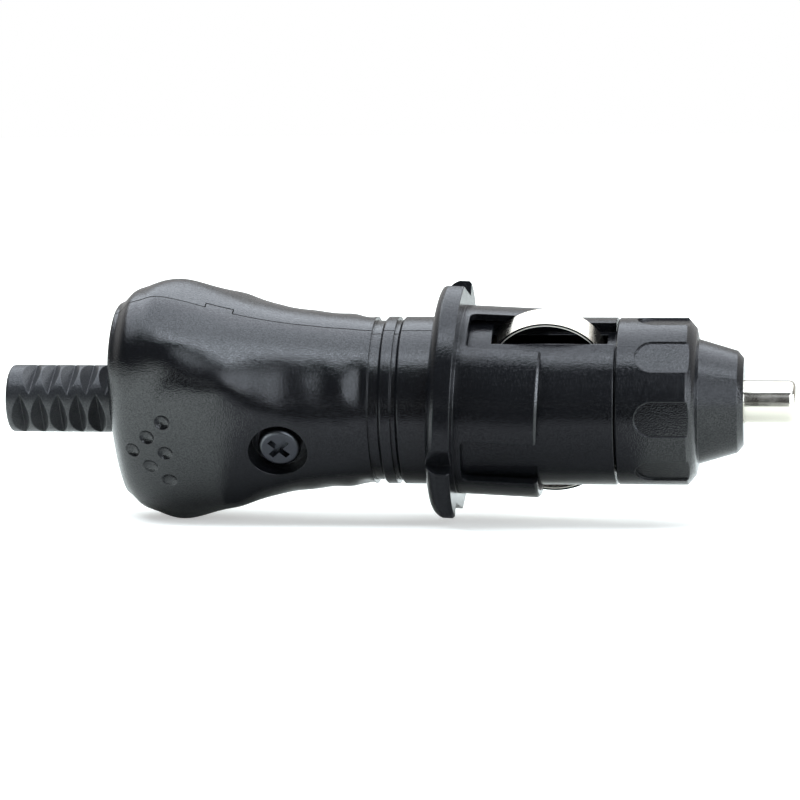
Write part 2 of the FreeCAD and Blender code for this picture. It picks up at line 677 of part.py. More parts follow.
def locking_collar():
    """Flange, four axial fingers and the inner rim that runs between grip and barrel."""
    chamfer = FINGER_END_CHAMFER
    sleeve = revolved([
        (-0.5, 0),
        (-0.5, COLLAR_RADIUS),
        (COLLAR_REACH - chamfer, COLLAR_RADIUS),
        (COLLAR_REACH, COLLAR_RADIUS - chamfer),
        (COLLAR_REACH, 0),
    ])
    half = WINDOW_WIDTH / 2
    pane = block((WINDOW_START + WINDOW_CORNER, COLLAR_REACH + 1), (-half, half),
                 (BARREL_RADIUS - 2, COLLAR_RADIUS + 1))
    inset = half - WINDOW_CORNER
    pane = pane.fuse(block((WINDOW_START, COLLAR_REACH), (-inset, inset),
                           (BARREL_RADIUS - 2, COLLAR_RADIUS + 1)))
    for side in (-1, 1):
        pane = pane.fuse(Part.makeCylinder(WINDOW_CORNER, COLLAR_RADIUS + 3 - BARREL_RADIUS,
                                           vector(WINDOW_START + WINDOW_CORNER, side * inset,
                                                  BARREL_RADIUS - 2), vector(0, 0, 1)))
    for index in range(WINDOW_COUNT):
        angle = 90 - WINDOW_CENTRE - index * 360 / WINDOW_COUNT
        sleeve = sleeve.cut(turned(pane, angle))
    collar = flange().fuse(sleeve).cut(rod(COLLAR_BACK - 1, COLLAR_REACH + 1, COLLAR_BORE))
    half_rim = COLLAR_RIM_WIDTH / 2
    rim = tube(RIM_STATION - half_rim, RIM_STATION + half_rim, COLLAR_BORE + 0.3, COLLAR_RIM_RADIUS)
    collar = collar.fuse(rim).removeSplitter()
    collar.rotate(vector(COLLAR_CENTRE, 0, 0), round_at(COCK_DIRECTION), -COLLAR_COCK)
    return collar


def bent_strip(points, radii, thickness, width):
    """A strip along (x, z) corner points, each bent to its own radius, centred on Y = 0."""
    corners = [vector(x, 0, z) for x, z in points]
    edges = []
    start = corners[0]
    for index, radius in enumerate(radii):
        corner = corners[index + 1]
        back = (corners[index] - corner).normalize()
        ahead = (corners[index + 2] - corner).normalize()
        half_angle = back.getAngle(ahead) / 2
        reach = radius / math.tan(half_angle)
        first = corner + back * reach
        last = corner + ahead * reach
        bisector = (back + ahead).normalize()
        centre = corner + bisector * (radius / math.sin(half_angle))
        middle = centre - bisector * radius
        edges.append(Part.makeLine(start, first))
        edges.append(Part.Arc(first, middle, last).toShape())
        start = last
    edges.append(Part.makeLine(start, corners[-1]))
    path = Part.Wire(edges)
    outer = path.makeOffset2D(thickness / 2, 0, False, True)
    inner = path.makeOffset2D(-thickness / 2, 0, False, True)
    outer_ends = (outer.OrderedVertexes[0].Point, outer.OrderedVertexes[-1].Point)
    inner_ends = (inner.OrderedVertexes[0].Point, inner.OrderedVertexes[-1].Point)
    if outer_ends[0].distanceToPoint(inner_ends[0]) > outer_ends[0].distanceToPoint(inner_ends[1]):
        inner_ends = (inner_ends[1], inner_ends[0])
    edges = outer.Edges + inner.Edges
    edges.append(Part.makeLine(outer_ends[0], inner_ends[0]))
    edges.append(Part.makeLine(outer_ends[1], inner_ends[1]))
    face = Part.Face(Part.Wire(Part.__sortEdges__(edges)))
    face.translate(vector(0, -width / 2, 0))
    return face.extrude(vector(0, width, 0))


def contact_leaf():
    """One side contact: a foot under the strap ring and a bow that stands out of the slot."""
    slope = math.tan(math.radians(LEAF_BOW_ANGLE))
    lift = 1 / math.cos(math.radians(LEAF_BOW_ANGLE)) - 1
    crown = LEAF_CROWN_RADIUS - LEAF_THICKNESS / 2
    apex = crown + LEAF_BOW_RADIUS * lift
    run = (apex - LEAF_FOOT_RADIUS) / slope
    points = [
        (LEAF_FOOT_START, LEAF_FOOT_RADIUS),
        (LEAF_CROWN_STATION - run, LEAF_FOOT_RADIUS),
        (LEAF_CROWN_STATION, apex),
        (LEAF_CROWN_STATION + run, LEAF_FOOT_RADIUS),
    ]
    return bent_strip(points, [LEAF_FOOT_BEND, LEAF_BOW_RADIUS], LEAF_THICKNESS, LEAF_WIDTH)


def earth_strap():
    """A ring that both leaves press against, with a tail through the barrel to its terminal."""
    start = CAVITY_START + RUNNING_FIT
    inner = STRAP_RING_RADIUS - STRAP_THICKNESS
    ring = tube(start, start + STRAP_RING_WIDTH, STRAP_RING_RADIUS, inner)
    half = STRAP_TAIL_WIDTH / 2
    low = STRAP_TAIL_HEIGHT - STRAP_TAIL_THICKNESS
    lug = block((start, start + STRAP_TAIL_THICKNESS), (-half, half), (-inner - 0.1, -low))
    tail = block((STRAP_TAIL_END, start + STRAP_TAIL_THICKNESS), (-half, half),
                 (-STRAP_TAIL_HEIGHT, -low))
    hole = Part.makeCylinder(TERMINAL_SCREW_RADIUS + RUNNING_FIT, 2 * FAR,
                             vector(TERMINAL_STATION, 0, -FAR), vector(0, 0, 1))
    return ring.fuse([lug, tail]).cut(hole)


def earth_terminal_screw():
    seat = STRAP_TAIL_HEIGHT - STRAP_TAIL_THICKNESS
    screw = machine_screw(0, 0, -TERMINAL_HEAD_HEIGHT, TERMINAL_HEAD_HEIGHT, TERMINAL_HEAD_RADIUS,
                          TERMINAL_SCREW_RADIUS, TERMINAL_SCREW_REACH)
    screw = screw.cut(cross_recess(0, -TERMINAL_HEAD_HEIGHT, 1.6, 0.4, 0.5))
    screw.rotate(ORIGIN, AXIS, -90)
    screw.translate(vector(TERMINAL_STATION, 0, -seat))
    return screw


def fuse_holder():
    """An insulating tube on two discs, with a closed rear end and slots for both tails."""
    body = tube(HOLDER_REAR, HOLDER_FRONT, HOLDER_OUTER, HOLDER_BORE)
    disc_radius = BARREL_BORE - RUNNING_FIT
    rear_disc = tube(HOLDER_REAR, HOLDER_REAR + HOLDER_DISC_WIDTH, disc_radius, HOLDER_BORE)
    front_disc = tube(HOLDER_FRONT_DISC_STATION, HOLDER_FRONT_DISC_STATION + HOLDER_DISC_WIDTH,
                      disc_radius, HOLDER_BORE)
    rear_wall = rod(HOLDER_REAR, HOLDER_REAR + HOLDER_REAR_WALL, HOLDER_BORE + 0.1)
    body = body.fuse([rear_disc, front_disc, rear_wall])
    gap = RUNNING_FIT
    tail_half = LIVE_TAIL_THICKNESS / 2 + gap
    width_half = LIVE_TAIL_WIDTH / 2 + gap
    slot = block((HOLDER_REAR - 1, HOLDER_REAR + HOLDER_REAR_WALL + 1), (-tail_half, tail_half),
                 (-width_half, width_half))
    strap_half = STRAP_TAIL_WIDTH / 2 + gap
    notch = block((HOLDER_REAR - 1, HOLDER_REAR + HOLDER_DISC_WIDTH + 1), (-strap_half, strap_half),
                  (-BARREL_BORE - 1, -STRAP_TAIL_HEIGHT + STRAP_TAIL_THICKNESS + gap))
    return body.cut(slot.fuse(notch))


def live_contact():
    """A brass disc that the spring bears on, with a cranked tail to its terminal."""
    disc = rod(LIVE_DISC_REAR, LIVE_DISC_FRONT, HOLDER_BORE - RUNNING_FIT)
    half_thickness = LIVE_TAIL_THICKNESS / 2
    half_width = LIVE_TAIL_WIDTH / 2
    stem = block((LIVE_TAIL_STEP - 1.6, LIVE_DISC_REAR + 0.2), (-half_thickness, half_thickness),
                 (-half_width, half_width))
    tail = block((LIVE_TAIL_END, LIVE_TAIL_STEP), (-half_thickness, half_thickness),
                 (LIVE_TAIL_SHIFT - half_width, LIVE_TAIL_SHIFT + half_width))
    hole = across(TERMINAL_STATION, LIVE_TAIL_SHIFT, -FAR, FAR, TERMINAL_SCREW_RADIUS + RUNNING_FIT)
    return disc.fuse([stem, tail]).cut(hole)


def live_terminal_screw():
    front = -LIVE_TAIL_THICKNESS / 2 - TERMINAL_HEAD_HEIGHT
    reach = LIVE_TAIL_THICKNESS / 2 + TERMINAL_SCREW_REACH
    screw = machine_screw(TERMINAL_STATION, LIVE_TAIL_SHIFT, front, TERMINAL_HEAD_HEIGHT,
                          TERMINAL_HEAD_RADIUS, TERMINAL_SCREW_RADIUS, reach)
    recess = cross_recess(TERMINAL_STATION, front, 1.6, 0.4, 0.5)
    recess.translate(vector(0, 0, LIVE_TAIL_SHIFT))
    return screw.cut(recess)


def fuse_cap(start, end, closed_at_start):
    """A plated cup on one end of the fuse's glass."""
    cup = rod(start, end, FUSE_RADIUS)
    inner = FUSE_RADIUS - FUSE_CAP_WALL
    if closed_at_start:
        return cup.cut(rod(start + FUSE_CAP_WALL, end + 1, inner))
    return cup.cut(rod(start - 1, end - FUSE_CAP_WALL, inner))


def fuse_tube():
    outer = FUSE_RADIUS - FUSE_CAP_WALL
    return tube(FUSE_REAR + FUSE_CAP_WALL, FUSE_FRONT - FUSE_CAP_WALL, outer, outer - FUSE_TUBE_WALL)


def fuse_wire():
    return rod(FUSE_REAR + FUSE_CAP_WALL, FUSE_FRONT - FUSE_CAP_WALL, FUSE_WIRE_RADIUS)


def pin_spring():
    """A coil of round wire between the live contact and the fuse."""
    start = LIVE_DISC_FRONT + SPRING_WIRE_RADIUS + RUNNING_FIT
    length = FUSE_REAR - RUNNING_FIT - SPRING_WIRE_RADIUS - start
    helix = Part.makeHelix(length / SPRING_TURNS, length, SPRING_COIL_RADIUS)
    pipe_start = vector(SPRING_COIL_RADIUS, 0, 0)
    profile = Part.Wire([Part.makeCircle(SPRING_WIRE_RADIUS, pipe_start, vector(0, 1, 0))])
    coil = Part.Wire(helix.Edges).makePipeShell([profile], True, False)
    coil.rotate(ORIGIN, vector(0, 1, 0), 90)
    coil.translate(vector(start, 0, 0))
    return coil


def centre_pin():
    """The live pin: a heel against the fuse, a flange behind the cap's wall and a rounded tip."""
    flange_rear = PIN_FLANGE_FRONT - PIN_FLANGE_WIDTH
    pin = revolved([
        (PIN_HEEL, 0),
        (PIN_HEEL, PIN_HEEL_RADIUS),
        (flange_rear, PIN_HEEL_RADIUS),
        (flange_rear, PIN_FLANGE_RADIUS),
        (PIN_FLANGE_FRONT, PIN_FLANGE_RADIUS),
        (PIN_FLANGE_FRONT, PIN_GUIDE_RADIUS),
        (CAP_FACE, PIN_GUIDE_RADIUS),
        (CAP_FACE, PIN_RADIUS),
        (PIN_TIP, PIN_RADIUS),
        (PIN_TIP, 0),
    ])
    tip = [edge for edge in pin.Edges if edge.BoundBox.XMin > PIN_TIP - 0.01]
    return pin.makeFillet(PIN_TIP_ROUND, tip)


def pin_washer():
    return tube(PIN_FLANGE_FRONT + RUNNING_FIT / 2, CAP_INNER_WALL - RUNNING_FIT / 2,
                CAP_POCKET_RADIUS - LOOSE_FIT, PIN_GUIDE_RADIUS + RUNNING_FIT)


def nose_cap():
    """The fluted cap: threaded skirt, chamfered grip and a cone with the pin's hole."""
    cap = revolved([
        (CAP_START, 0),
        (CAP_START, CAP_RADIUS - SKIRT_EDGE),
        (CAP_START + SKIRT_EDGE, CAP_RADIUS),
        (CAP_GRIP_END, CAP_RADIUS),
        (CAP_CHAMFER_END, CAP_CHAMFER_RADIUS),
        (CAP_SHOULDER, CONE_START_RADIUS),
        (CONE_END, CONE_END_RADIUS),
        (CAP_FACE, CAP_FACE_RADIUS),
        (CAP_FACE, 0),
    ])
    half = FLUTE_WIDTH / 2
    floor = CAP_RADIUS - FLUTE_DEPTH
    flute = block((FLUTE_START + half, CAP_SHOULDER), (-half, half), (floor, CAP_RADIUS + 1))
    flute = flute.fuse(Part.makeCylinder(half, FLUTE_DEPTH + 1,
                                         vector(FLUTE_START + half, 0, floor), vector(0, 0, 1)))
    for index in range(FLUTE_COUNT):
        cap = cap.cut(turned(flute, 90 - FLUTE_PHASE - index * 360 / FLUTE_COUNT))
    cap = cap.cut(rod(CAP_START - 1, CAP_POCKET_START, SPIGOT_RADIUS + LOOSE_FIT))
    cap = cap.cut(rod(CAP_POCKET_START - 1, CAP_INNER_WALL, CAP_POCKET_RADIUS))
    return cap.cut(rod(CAP_INNER_WALL - 1, CAP_FACE + 1, PIN_GUIDE_RADIUS + RUNNING_FIT))


def build():
    """Every piece by its name, as drawn, before the roll."""
    front, rear = halves()
    leaf = contact_leaf()
    return {
        "handle_front_half": front,
        "handle_rear_half": rear,
        "handle_screw": handle_screw(),
        "strain_relief": strain_relief(),
        "cord_clamp_bar": cord_clamp_bar(),
        "cord_clamp_screws": cord_clamp_screws(),
        "barrel": barrel(),
        "locking_collar": locking_collar(),
        "upper_contact_spring": leaf,
        "lower_contact_spring": turned(leaf, 180),
        "earth_strap": earth_strap(),
        "earth_terminal_screw": earth_terminal_screw(),
        "fuse_holder": fuse_holder(),
        "live_contact": live_contact(),
        "live_terminal_screw": live_terminal_screw(),
        "fuse_rear_cap": fuse_cap(FUSE_REAR, FUSE_REAR + FUSE_CAP_LENGTH, True),
        "fuse_front_cap": fuse_cap(FUSE_FRONT - FUSE_CAP_LENGTH, FUSE_FRONT, False),
        "fuse_tube": fuse_tube(),
        "fuse_wire": fuse_wire(),
        "pin_spring": pin_spring(),
        "centre_pin": centre_pin(),
        "pin_washer": pin_washer(),
        "nose_cap": nose_cap(),
    }


def main():
    os.makedirs("parts", exist_ok=True)
    for name, shape in build().items():
        lying = turned(shape, REST_ROLL)
        print(name, len(lying.Solids), "solids", round(lying.Volume, 2), "mm3", lying.isValid())
        lying.exportStep("parts/" + name + ".step")


main()
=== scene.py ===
"""Studio picture of a cigarette lighter plug that lies on a white table.

The plug's axis runs along X with its tip at +X. Its screw face is turned 30 degrees down.
"""
import json
import math

import bpy
import numpy as np
from bpy.props import FloatProperty, FloatVectorProperty, PointerProperty
from mathutils import Matrix, Vector
from mathutils.kdtree import KDTree

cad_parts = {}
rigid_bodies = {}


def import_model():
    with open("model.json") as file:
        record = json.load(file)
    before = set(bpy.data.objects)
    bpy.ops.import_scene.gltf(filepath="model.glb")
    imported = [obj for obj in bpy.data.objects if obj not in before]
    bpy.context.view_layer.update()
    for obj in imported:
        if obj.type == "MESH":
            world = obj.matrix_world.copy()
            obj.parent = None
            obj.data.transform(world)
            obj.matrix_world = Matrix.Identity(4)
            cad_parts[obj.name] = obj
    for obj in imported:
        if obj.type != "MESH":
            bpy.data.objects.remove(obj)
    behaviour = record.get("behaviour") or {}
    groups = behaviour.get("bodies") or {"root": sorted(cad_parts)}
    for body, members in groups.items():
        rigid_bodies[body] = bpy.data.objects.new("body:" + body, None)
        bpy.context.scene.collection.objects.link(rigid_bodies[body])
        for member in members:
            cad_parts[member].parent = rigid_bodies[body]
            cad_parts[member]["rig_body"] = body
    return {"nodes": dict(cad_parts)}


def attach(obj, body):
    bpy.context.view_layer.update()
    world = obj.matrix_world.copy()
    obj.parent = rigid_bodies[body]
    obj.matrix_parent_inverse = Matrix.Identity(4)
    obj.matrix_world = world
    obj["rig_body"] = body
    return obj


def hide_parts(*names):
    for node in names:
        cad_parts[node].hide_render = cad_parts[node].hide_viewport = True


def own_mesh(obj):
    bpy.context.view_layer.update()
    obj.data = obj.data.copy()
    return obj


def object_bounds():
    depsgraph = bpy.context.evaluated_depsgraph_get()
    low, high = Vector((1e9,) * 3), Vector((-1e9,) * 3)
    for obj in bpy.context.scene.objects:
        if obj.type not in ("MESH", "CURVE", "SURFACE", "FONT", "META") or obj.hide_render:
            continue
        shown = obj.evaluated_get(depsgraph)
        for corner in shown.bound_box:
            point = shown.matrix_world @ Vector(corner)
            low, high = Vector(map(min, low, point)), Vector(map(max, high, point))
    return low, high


bl_info = {
    "name": "Cigarette lighter plug",
    "version": (1, 0, 0),
    "blender": (4, 5, 0),
    "location": "3D View > Sidebar > Lighter plug",
    "description": "Finishes a cigarette lighter plug and sets it in a small white studio",
    "category": "Object",
}

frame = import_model()
CAD_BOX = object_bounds()
MM = 0.001
REST_ROLL = math.radians(30)
LYING = Matrix.Rotation(REST_ROLL, 3, "X")
# A vertex of the CAD mesh that lies this close to another is the same point
SAME_POINT = 0.0005 * MM
# Facets whose profile keeps this level lie on one turned surface
TURNED_SLACK = 0.004 * MM
# Facets that turn less than this from each other belong to one smooth surface
SMOOTH_ANGLE = math.radians(32)
# The side contacts' bow, seen with the plug unrolled: its middle, and the two limits where the cut edge's
# painted highlight gives way to its painted shade
BOW_MIDDLE = (10.9 * MM, 0, 5.2 * MM)
PAINTED_HIGHLIGHT_UP_TO = 7.12 * MM
PAINTED_SHADE_FROM = 7.16 * MM
# The sleeve's trapped shoulder, its rounded rim, and its rows of notches
SHOULDER_RADIUS = 5.8 * MM
RIM_BEVEL = 0.5 * MM
NOTCH_ROWS = 4
NOTCHES_A_ROW = 5
FIRST_ROW_TURN = math.radians(33)
LAST_NOTCH = -44.0 * MM
NOTCH_CUTTER = 3 * MM
NOTCH_SHAPE = (0.9, 3.2, 1.0)

# Lines about which round forms are turned: a point on each and its direction
PLUG_LINE = (Vector((0, 0, 0)), Vector((1, 0, 0)))
SCREW_LINE = (Vector((-21.8 * MM, 0, 0)), LYING @ Vector((0, -1, 0)))
CLAMP_LINES = [(LYING @ Vector((-33.4 * MM, 0, side * 6.1 * MM)), LYING @ Vector((0, -1, 0)))
               for side in (-1, 1)]
COCK_LINE = Vector((0, -math.cos(math.radians(36)), math.sin(math.radians(36))))
COLLAR_LINE = (Vector((3.55 * MM, 0, 0)),
               LYING @ Matrix.Rotation(math.radians(-2.6), 3, COCK_LINE) @ Vector((1, 0, 0)))


def linear(hex_colour):
    """An sRGB hex colour as linear red, green and blue."""
    channels = [int(hex_colour[i:i + 2], 16) / 255 for i in (1, 3, 5)]
    return tuple(c / 12.92 if c <= 0.04045 else ((c + 0.055) / 1.055) ** 2.4 for c in channels)


def pick(piece):
    """Leaves only this piece selected and active."""
    bpy.ops.object.select_all(action="DESELECT")
    piece.select_set(True)
    bpy.context.view_layer.objects.active = piece


def add_node(tree, kind, inputs=None, **settings):
    """Adds a shader node; inputs maps a socket to a value or to the output that feeds it."""
    node = tree.nodes.new(kind)
    for name, value in settings.items():
        setattr(node, name, value)
    for socket, value in (inputs or {}).items():
        if isinstance(value, bpy.types.NodeSocket):
            tree.links.new(value, node.inputs[socket])
        else:
            node.inputs[socket].default_value = value
    return node


def empty_material(name):
    """A material whose node tree holds nothing yet."""
    material = bpy.data.materials.new(name)
    material.use_nodes = True
    material.node_tree.nodes.clear()
    return material


def finish_material(material, shader):
    """Joins the last shader to the material's output."""
    add_node(material.node_tree, "ShaderNodeOutputMaterial", {"Surface": shader.outputs[0]})
    return material


def grain(tree, size):
    """Height of the fine grain that a spark-eroded mould leaves."""
    place = add_node(tree, "ShaderNodeTexCoord").outputs["Object"]
    pits = add_node(tree, "ShaderNodeTexNoise", {
        "Vector": place, "Scale": 1 / size, "Detail": 0.3})
    spread = add_node(tree, "ShaderNodeMapRange", {
        "Value": pits.outputs[0], "From Min": 0.3, "From Max": 0.7})
    return spread.outputs[0]


def grain_normal(tree, height, depth, edge_round):
    """Normal of a moulded skin: edges rounded by a hair, then the fine grain of the tool."""
    edge = add_node(tree, "ShaderNodeBevel", {"Radius": edge_round}, samples=6)
    bump = add_node(tree, "ShaderNodeBump", {
        "Height": height, "Distance": depth, "Strength": 1.0, "Normal": edge.outputs[0]})
    return bump.outputs[0]


def grain_shine(tree, height, low, high):
    """Shine that drops in the grain's pits, where little light gets out, and peaks on its tips."""
    spread = add_node(tree, "ShaderNodeMapRange", {"Value": height, "To Min": low, "To Max": high})
    return spread.outputs[0]


def uneven(tree, patch, low, high):
    """A value that wanders between two limits over patches of a size."""
    place = add_node(tree, "ShaderNodeTexCoord").outputs["Object"]
    cloud = add_node(tree, "ShaderNodeTexNoise", {
        "Vector": place, "Scale": 1 / patch, "Detail": 3.0, "Roughness": 0.6})
    spread = add_node(tree, "ShaderNodeMapRange", {
        "Value": cloud.outputs[0], "From Min": 0.3, "From Max": 0.7,
        "To Min": low, "To Max": high})
    return spread.outputs[0]


def spark_eroded_abs():
    """Black ABS from a spark-eroded mould: satin, with a fine grain that breaks up highlights."""
    finish = bpy.context.scene.plug_finish
    material = empty_material("spark_eroded_abs")
    tree = material.node_tree
    pits = grain(tree, finish.grain_size)
    shader = add_node(tree, "ShaderNodeBsdfPrincipled", {
        "Base Color": (*finish.grip_colour, 1),
        "Roughness": uneven(tree, 4 * MM, finish.grip_roughness - 0.03, finish.grip_roughness + 0.03),
        "IOR": 1.54,
        "Specular IOR Level": grain_shine(tree, pits, 0.4, 0.68),
        "Normal": grain_normal(tree, pits, finish.grain_depth, finish.edge_round)})
    return finish_material(material, shader)


def glass_filled_nylon():
    """Black glass-filled nylon of barrel, collar and nose: duller and a little greyer than ABS."""
    finish = bpy.context.scene.plug_finish
    material = empty_material("glass_filled_nylon")
    tree = material.node_tree
    pits = grain(tree, finish.grain_size)
    shader = add_node(tree, "ShaderNodeBsdfPrincipled", {
        "Base Color": (*finish.barrel_colour, 1),
        "Roughness": uneven(tree, 5 * MM, finish.barrel_roughness - 0.03,
                            finish.barrel_roughness + 0.03),
        "IOR": 1.53,
        "Specular IOR Level": grain_shine(tree, pits, 0.28, 0.54),
        "Normal": grain_normal(tree, pits, finish.grain_depth, finish.edge_round)})
    return finish_material(material, shader)


def soft_pvc():
    """Soft black PVC of the cable sleeve: smooth skin with a broad greyish sheen."""
    finish = bpy.context.scene.plug_finish
    material = empty_material("soft_pvc")
    tree = material.node_tree
    pits = grain(tree, 0.2 * MM)
    shader = add_node(tree, "ShaderNodeBsdfPrincipled", {
        "Base Color": (*finish.sleeve_colour, 1),
        "Roughness": uneven(tree, 3 * MM, 0.32, 0.42),
        "IOR": 1.56,
        "Specular IOR Level": grain_shine(tree, pits, 0.4, 0.6),
        "Normal": grain_normal(tree, pits, 0.012 * MM, 0.2 * MM)})
    return finish_material(material, shader)


def nickel_plated(name, colour, scratch, roughness):
    """Nickel on rolled strip or turned bar: a bright warm metal with fine drawn lines along X."""
    material = empty_material(name)
    tree = material.node_tree
    place = add_node(tree, "ShaderNodeTexCoord").outputs["Object"]
    drawn = add_node(tree, "ShaderNodeMapping", {"Vector": place, "Scale": (0.04, 1, 1)})
    lines = add_node(tree, "ShaderNodeTexNoise", {
        "Vector": drawn.outputs[0], "Scale": 1 / scratch, "Detail": 2.0})
    bump = add_node(tree, "ShaderNodeBump", {
        "Height": lines.outputs[0], "Distance": 0.004 * MM,
        "Normal": add_node(tree, "ShaderNodeBevel", {"Radius": 0.06 * MM}, samples=4).outputs[0]})
    shader = add_node(tree, "ShaderNodeBsdfPrincipled", {
        "Base Color": (*linear(colour), 1), "Metallic": 1.0,
        "Roughness": uneven(tree, 2 * MM, roughness - 0.04, roughness + 0.06),
        "Normal": bump.outputs[0]})
    return finish_material(material, shader)


def strip_edge_painted_shade_and_highlight():
    """Cut edge of the spring strip: a dark band of painted shade above a bright band of painted
    highlight.
    """
    material = empty_material("strip_edge_painted_shade_highlight")
    tree = material.node_tree
    place = add_node(tree, "ShaderNodeTexCoord").outputs["Object"]
    upright = add_node(tree, "ShaderNodeMapping", {
        "Vector": place, "Rotation": (-REST_ROLL, 0, 0)})
    parts = add_node(tree, "ShaderNodeSeparateXYZ", {"Vector": upright.outputs[0]})
    height = add_node(tree, "ShaderNodeMath", {0: parts.outputs["Z"]}, operation="ABSOLUTE")
    from_middle = add_node(tree, "ShaderNodeCombineXYZ", {
        "X": parts.outputs["X"], "Z": height.outputs[0]})
    reach = add_node(tree, "ShaderNodeVectorMath", {
        0: from_middle.outputs[0], 1: BOW_MIDDLE}, operation="DISTANCE")
    zone = add_node(tree, "ShaderNodeMapRange", {
        "Value": reach.outputs["Value"], "From Min": PAINTED_HIGHLIGHT_UP_TO, "From Max": PAINTED_SHADE_FROM})
    # Near white is a painted highlight and near black is painted shade on the strip's cut edge
    colour = add_node(tree, "ShaderNodeMix", {
        "Factor": zone.outputs[0], "A": (*linear("#fffaf0"), 1), "B": (*linear("#0c0b0a"), 1)},
        data_type="RGBA")
    shader = add_node(tree, "ShaderNodeBsdfPrincipled", {
        "Base Color": colour.outputs["Result"], "Metallic": 0.6, "Roughness": 0.45})
    return finish_material(material, shader)


def plain_metal(name, colour, roughness):
    """A small hidden metal piece, plated or stamped, with an even soft shine."""
    material = empty_material(name)
    tree = material.node_tree
    shader = add_node(tree, "ShaderNodeBsdfPrincipled", {
        "Base Color": (*linear(colour), 1), "Metallic": 1.0,
        "Roughness": uneven(tree, 1.5 * MM, roughness - 0.05, roughness + 0.08)})
    return finish_material(material, shader)


def natural_nylon():
    """Undyed nylon: off-white, slightly waxy, light goes a little way in."""
    material = empty_material("natural_nylon")
    tree = material.node_tree
    shader = add_node(tree, "ShaderNodeBsdfPrincipled", {
        "Base Color": (*linear("#e4dfd0"), 1),
        "Roughness": uneven(tree, 3 * MM, 0.42, 0.52),
        "IOR": 1.53, "Subsurface Weight": 0.15, "Subsurface Scale": 0.5 * MM})
    return finish_material(material, shader)


def fuse_glass():
    """Clear drawn glass tube: sharp reflections, almost no tint."""
    material = empty_material("fuse_glass")
    shader = add_node(material.node_tree, "ShaderNodeBsdfPrincipled", {
        "Base Color": (*linear("#eef6f4"), 1), "Roughness": 0.03,
        "IOR": 1.5, "Transmission Weight": 1.0})
    return finish_material(material, shader)


def corner_table(mesh):
    """The mesh as arrays: its points, each corner's point and facet, and each facet's measures."""
    def read(items, name, width):
        values = np.empty(len(items) * width, dtype=np.float32)
        items.foreach_get(name, values)
        return values.reshape(-1, width).astype(float)
    sizes = read(mesh.polygons, "loop_total", 1)[:, 0].astype(int)
    return {
        "points": read(mesh.vertices, "co", 3),
        "vertex": read(mesh.loops, "vertex_index", 1)[:, 0].astype(int),
        "facet": np.repeat(np.arange(len(sizes)), sizes),
        "centre": read(mesh.polygons, "center", 3),
        "normal": read(mesh.polygons, "normal", 3),
        "area": read(mesh.polygons, "area", 1)[:, 0],
    }


def around(points, line):
    """Distance along a line, distance from it and the unit direction away from it."""
    arms = points - np.array(line[0])
    axis = np.array(line[1])
    along = arms @ axis
    away = arms - along[:, None] * axis
    radius = np.linalg.norm(away, axis=1)
    return along, radius, away / np.maximum(radius, 1e-9)[:, None]


def same_way(chosen, others, weights, limit):
    """Weighted mean of those directions that lie within a limit of the chosen one."""
    near = others @ chosen > limit
    total = (others[near] * weights[near, None]).sum(axis=0)
    return total if near.any() else chosen


def true_normals(piece, lines, reach):
    """Gives each corner the normal of the true surface instead of that of its own few facets.

    A facet on a form turned about one of the lines takes its normal from that line. Any other
    takes the mean of the facets within reach that face about the same way.
    """
    mesh = piece.data
    table = corner_table(mesh)
    vertex, facet = table["vertex"], table["facet"]
    limit = math.cos(SMOOTH_ANGLE)
    corners = [[] for _ in table["points"]]
    for corner, point in enumerate(vertex):
        corners[point].append(corner)
    normals = np.zeros((len(vertex), 3))
    done = np.zeros(len(vertex), dtype=bool)
    for line in lines:
        axis = np.array(line[1])
        along, radius, away = around(table["points"], line)
        outward = around(table["centre"], line)[2]
        profile = np.stack([table["normal"] @ axis, (table["normal"] * outward).sum(axis=1)], axis=1)
        length = np.linalg.norm(profile, axis=1)
        profile /= np.maximum(length, 1e-9)[:, None]
        level = profile[facet, 0] * along[vertex] + profile[facet, 1] * radius[vertex]
        lowest = np.full(len(profile), 1e9)
        highest = np.full(len(profile), -1e9)
        np.minimum.at(lowest, facet, level)
        np.maximum.at(highest, facet, level)
        turned = (length > 0.998) & (highest - lowest < TURNED_SLACK)
        for here in corners:
            own = [corner for corner in here if turned[facet[corner]] and not done[corner]]
            if own:
                facets = facet[own]
                for corner in own:
                    mean = same_way(profile[facet[corner]], profile[facets], table["area"][facets], limit)
                    normals[corner] = mean[0] * axis + mean[1] * away[vertex[corner]]
                    done[corner] = True
    tree = KDTree(len(table["centre"]))
    for index, centre in enumerate(table["centre"]):
        tree.insert(centre, index)
    tree.balance()
    for point, here in enumerate(corners):
        left = [corner for corner in here if not done[corner]]
        if not left:
            continue
        facets = {facet[corner] for corner in here}
        if reach:
            facets.update(found[1] for found in tree.find_range(table["points"][point], reach))
        facets = np.array(sorted(facets))
        for corner in left:
            normals[corner] = same_way(table["normal"][facet[corner]], table["normal"][facets],
                                       table["area"][facets], limit)
    normals /= np.maximum(np.linalg.norm(normals, axis=1), 1e-12)[:, None]
    mesh.normals_split_custom_set(normals.tolist())


def dress(node, material, lines=(PLUG_LINE,), reach=0):
    """Lays a smooth-shaded skin over a CAD node, on the same body, and hides the node."""
    source = frame["nodes"][node]
    piece = bpy.data.objects.new(node + "_skin", source.data.copy())
    bpy.context.scene.collection.objects.link(piece)
    pick(piece)
    bpy.ops.mesh.customdata_custom_splitnormals_clear()
    bpy.ops.object.mode_set(mode="EDIT")
    bpy.ops.mesh.select_all(action="SELECT")
    bpy.ops.mesh.remove_doubles(threshold=SAME_POINT)
    bpy.ops.object.mode_set(mode="OBJECT")
    bpy.ops.object.shade_smooth()
    true_normals(piece, lines, reach)
    piece.data.materials.clear()
    piece.data.materials.append(material)
    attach(piece, source["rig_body"])
    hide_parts(node)
    return piece


